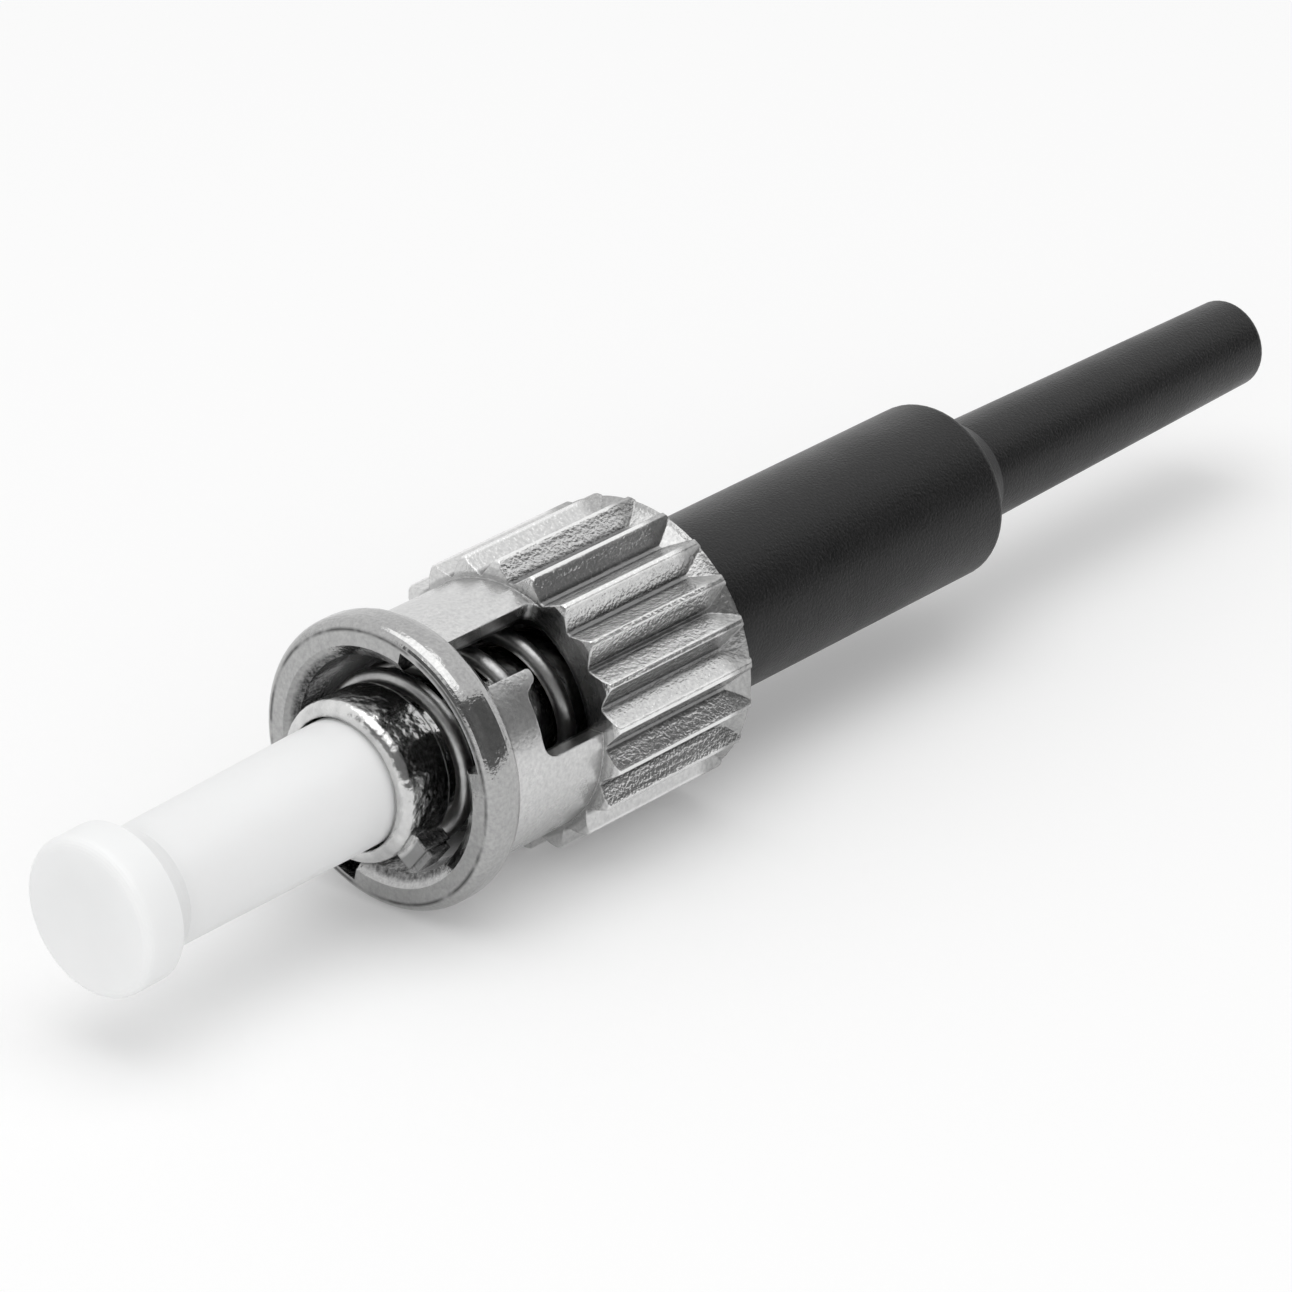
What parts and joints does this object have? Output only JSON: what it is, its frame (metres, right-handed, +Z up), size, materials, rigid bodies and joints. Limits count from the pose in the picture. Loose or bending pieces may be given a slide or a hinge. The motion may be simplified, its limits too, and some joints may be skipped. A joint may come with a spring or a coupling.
{
  "type": "bayonet fibre optic connector",
  "caption": "Fibre connector with a spring-loaded bayonet coupling nut on a keyed metal barrel, a frosted dust cap over its ferrule and a rubber boot with a tapered tail.",
  "frame": {"origin": "centre of the ferrule's polished end face, on the connector's axis", "axes": "+X along the connector's axis from the ferrule's end towards the cable, +Z up, the connector lies on its nut"},
  "size_m": [0.056, 0.0096, 0.0096],
  "materials": {
    "nickel": "nickel-plated casting, satin flanks, polished edges",
    "turned_nickel": "nickel-plated, polished",
    "spring_steel": "drawn wire, semi-bright",
    "plain_steel": "stamped, semi-bright",
    "zirconia": "polished",
    "crimp_brass": "drawn tube",
    "tube_plastic": "smooth",
    "cap_plastic": "frosted, slightly see-through",
    "boot_rubber": "matt, fine grain"
  },
  "bodies": {
    "barrel": {"barrel": "turned_nickel", "ferrule": "zirconia", "ferrule_holder": "turned_nickel", "coupling_spring": "spring_steel", "retaining_ring": "plain_steel", "guide_tube": "tube_plastic", "crimp_sleeve": "crimp_brass"},
    "washer": {"thrust_washer": "plain_steel"},
    "nut": {"coupling_nut": "nickel"},
    "cap": {"dust_cap": "cap_plastic"},
    "boot": {"boot": "boot_rubber"}
  },
  "joints": [
    {"name": "nut_push", "type": "slide", "parent": "barrel", "child": "washer", "axis": [-1, 0, 0], "range_m": [0, 0.002], "stiffness_N_per_m": 2500, "deforming": ["coupling_spring"]},
    {"name": "nut_turn", "type": "hinge", "parent": "washer", "child": "nut", "pos_m": [0.0209, 0, 0], "axis": [1, 0, 0], "continuous": true},
    {"name": "cap_slide", "type": "slide", "parent": "barrel", "child": "cap", "axis": [-1, 0, 0], "range_m": [0, 0.012]},
    {"name": "boot_slide", "type": "slide", "parent": "barrel", "child": "boot", "axis": [1, 0, 0], "range_m": [0, 0.012]}
  ]
}
